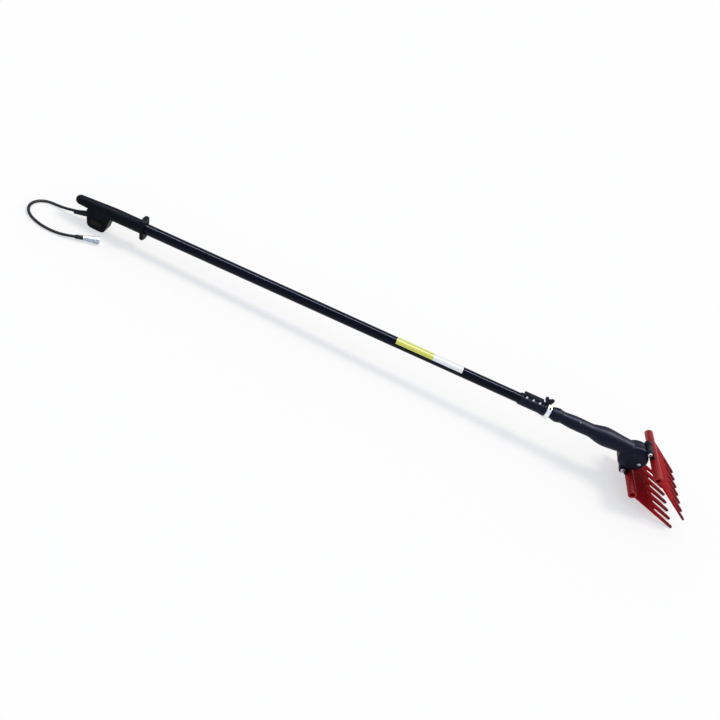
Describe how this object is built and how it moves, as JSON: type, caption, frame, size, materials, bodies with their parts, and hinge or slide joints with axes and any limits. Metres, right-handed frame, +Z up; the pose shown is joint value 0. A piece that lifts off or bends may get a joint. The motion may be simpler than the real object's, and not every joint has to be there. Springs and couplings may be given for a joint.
{
  "type": "electric olive harvester",
  "caption": "Long pole tool with a switch handle, a telescoping tube, a motor head and a pair of toothed combs that beat olives off the branch.",
  "frame": {"origin": "on the floor, under the middle of the tool without its cable and plug", "axes": "+X along the pole from the handle to the combs, +Y to the side away from the viewer, +Z up"},
  "size_m": [2.064, 0.2175, 0.1625],
  "materials": {
    "grip": "fine grained black",
    "switch": "black",
    "rocker_red": "dark red",
    "steel": "bright fastener steel",
    "brass": "plain",
    "rubber": "satin black",
    "plug_metal": "satin plated",
    "insert": "black",
    "pole_black": "glossy black",
    "collar": "satin black",
    "ring": "machined",
    "bush": "natural",
    "housing": "satin black",
    "motor": "plated can",
    "yoke": "cast",
    "rocker_arm": "black",
    "comb_red": "red"
  },
  "bodies": {
    "pole": {"outer_tube": "pole_black", "grip_shell_near": "grip", "grip_shell_far": "grip", "grip_screws": "steel", "switch_body": "switch", "switch_terminals": "brass", "strain_relief": "rubber", "supply_cable": "rubber", "plug_boot": "rubber", "plug_shell": "plug_metal", "plug_insert": "insert", "plug_pins": "brass", "collar": "collar", "collar_bolts": "steel", "collar_nuts": "steel", "clamp_ring": "ring", "spiral_lead": "rubber"},
    "rocker_switch": {"switch_rocker": "rocker_red"},
    "coupling_nut": {"plug_nut": "plug_metal"},
    "wing": {"wing_screw": "collar"},
    "head": {"inner_tube": "pole_black", "guide_bush": "bush", "motor_lead": "rubber", "housing_near": "housing", "housing_far": "housing", "housing_screws": "steel", "grease_plug": "steel", "motor_can": "motor", "motor_end_bell": "insert", "crank_bearing": "steel", "guide_rod": "steel", "pivot_bolts": "steel", "pivot_nuts": "steel", "pivot_bushes": "brass"},
    "rotor": {"motor_shaft": "steel", "drive_pinion": "brass"},
    "crank": {"crown_gear": "steel", "crank_shaft": "steel"},
    "yoke": {"drive_yoke": "yoke", "yoke_pins": "steel"},
    "upper": {"upper_rocker": "rocker_arm", "upper_comb": "comb_red", "upper_comb_bolts": "steel"},
    "lower": {"lower_rocker": "rocker_arm", "lower_comb": "comb_red", "lower_comb_bolts": "steel"}
  },
  "joints": [
    {"name": "switch_tip", "type": "hinge", "parent": "pole", "child": "rocker_switch", "pos_m": [-0.90508, -0.0175, 0.02298], "axis": [-0.0383, 0, 0.9993], "range_deg": [-16, 0]},
    {"name": "nut_turn", "type": "hinge", "parent": "pole", "child": "coupling_nut", "pos_m": [-0.924, -0.096, 0.0096], "axis": [0.8907, 0.4538, 0.0262], "continuous": true},
    {"name": "wing_turn", "type": "hinge", "parent": "pole", "child": "wing", "pos_m": [0.46242, 0, 0.11448], "axis": [-0.0383, 0, 0.9993], "range_deg": [0, 360]},
    {"name": "telescope", "type": "slide", "parent": "pole", "child": "head", "axis": [0.9993, 0, 0.0383], "range_m": [0, 0.5]},
    {"name": "crank_turn", "type": "hinge", "parent": "head", "child": "crank", "pos_m": [0.76809, 0, 0.11014], "axis": [0, 1, 0], "continuous": true},
    {"name": "rotor_spin", "type": "hinge", "parent": "head", "child": "rotor", "pos_m": [0.76809, 0, 0.11014], "axis": [0.993, 0, -0.1185], "continuous": true},
    {"name": "lower_rock", "type": "hinge", "parent": "head", "child": "lower", "pos_m": [0.77042, 0, 0.05959], "axis": [0, 1, 0], "range_deg": [-4.5, 11.5]},
    {"name": "upper_rock", "type": "hinge", "parent": "head", "child": "upper", "pos_m": [0.79656, 0, 0.15197], "axis": [0, 1, 0], "range_deg": [-11.5, 4.5]},
    {"name": "yoke_slide", "type": "slide", "parent": "head", "child": "yoke", "axis": [0.9622, 0, -0.2723], "range_m": [-0.0018, 0.0045]}
  ],
  "couplings": [
    {"joint": "rotor_spin", "follows": "crank_turn", "ratio": 3.5},
    {"joint": "upper_rock", "follows": "lower_rock", "ratio": -1},
    {"joint": "yoke_slide", "follows": "lower_rock", "m_per_rad": 0.022}
  ]
}
